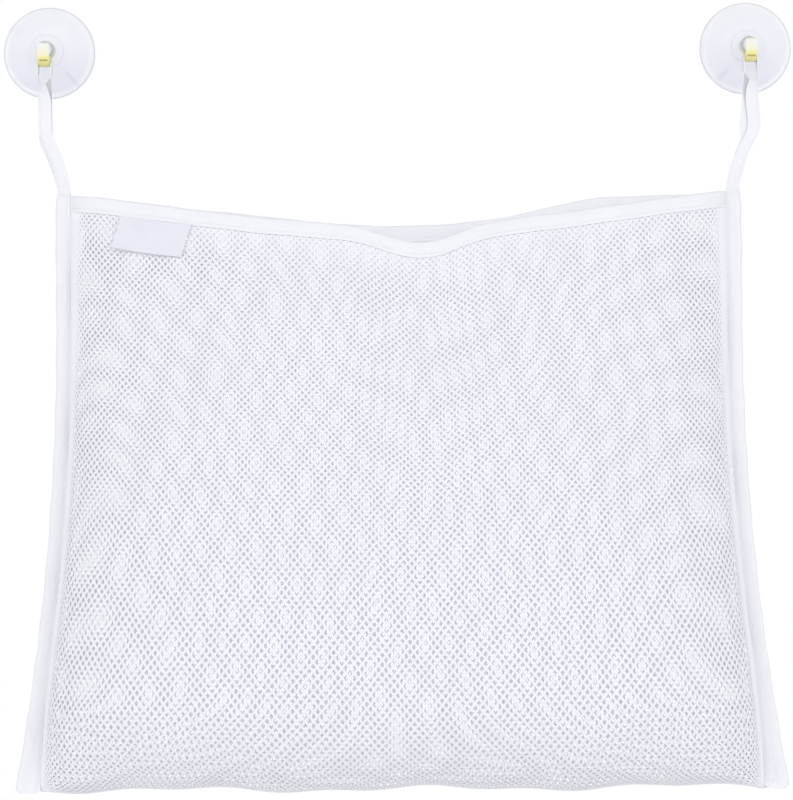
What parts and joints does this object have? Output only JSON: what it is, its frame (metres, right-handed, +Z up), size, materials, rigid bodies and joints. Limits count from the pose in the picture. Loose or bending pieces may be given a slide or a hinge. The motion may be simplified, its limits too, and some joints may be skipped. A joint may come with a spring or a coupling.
{
  "type": "bath toy organizer",
  "caption": "Open-topped net pouch with taped edges that hangs on a tiled wall from strap loops on hooked clear suction cups, for draining and storing bath toys.",
  "frame": {"origin": "on the wall plane, midway between the axes of the two suction cups", "axes": "+Z up, +X to the right of someone who faces the wall, +Y into the wall"},
  "size_m": [0.4784, 0.0888, 0.4742],
  "materials": {
    "net": "white knitted polyester diamond net, slightly shiny",
    "tape": "white woven polyester tape, matte, stitched",
    "tag": "white satin ribbon, bare",
    "vinyl": "clear soft vinyl, glossy",
    "amber": "amber translucent plastic, glossy"
  },
  "bodies": {
    "hangers": {"hook_left": "amber", "hook_right": "amber"},
    "left_cup": {"cup_left": "vinyl"},
    "right_cup": {"cup_right": "vinyl"},
    "bag": {"net_sheet": "net", "hem_front": "tape", "hem_back": "tape", "binding_left": "tape", "binding_right": "tape", "strap_left": "tape", "strap_right": "tape"},
    "label": {"tag": "tag"}
  },
  "joints": [
    {"name": "left_cup_turn", "type": "hinge", "parent": "hangers", "child": "left_cup", "pos_m": [-0.2115, -0.0153, 0], "axis": [0, 1, 0], "continuous": true},
    {"name": "right_cup_turn", "type": "hinge", "parent": "hangers", "child": "right_cup", "pos_m": [0.2115, -0.0153, 0], "axis": [0, 1, 0], "continuous": true},
    {"name": "bag_swing", "type": "hinge", "parent": "hangers", "child": "bag", "pos_m": [0, -0.0229, -0.00322], "axis": [-1, 0, 0], "range_deg": [0, 75]},
    {"name": "tag_lift", "type": "hinge", "parent": "bag", "child": "label", "pos_m": [-0.14392, -0.04514, -0.10641], "axis": [-0.976, 0.1642, 0.1433], "range_deg": [0, 150]}
  ]
}
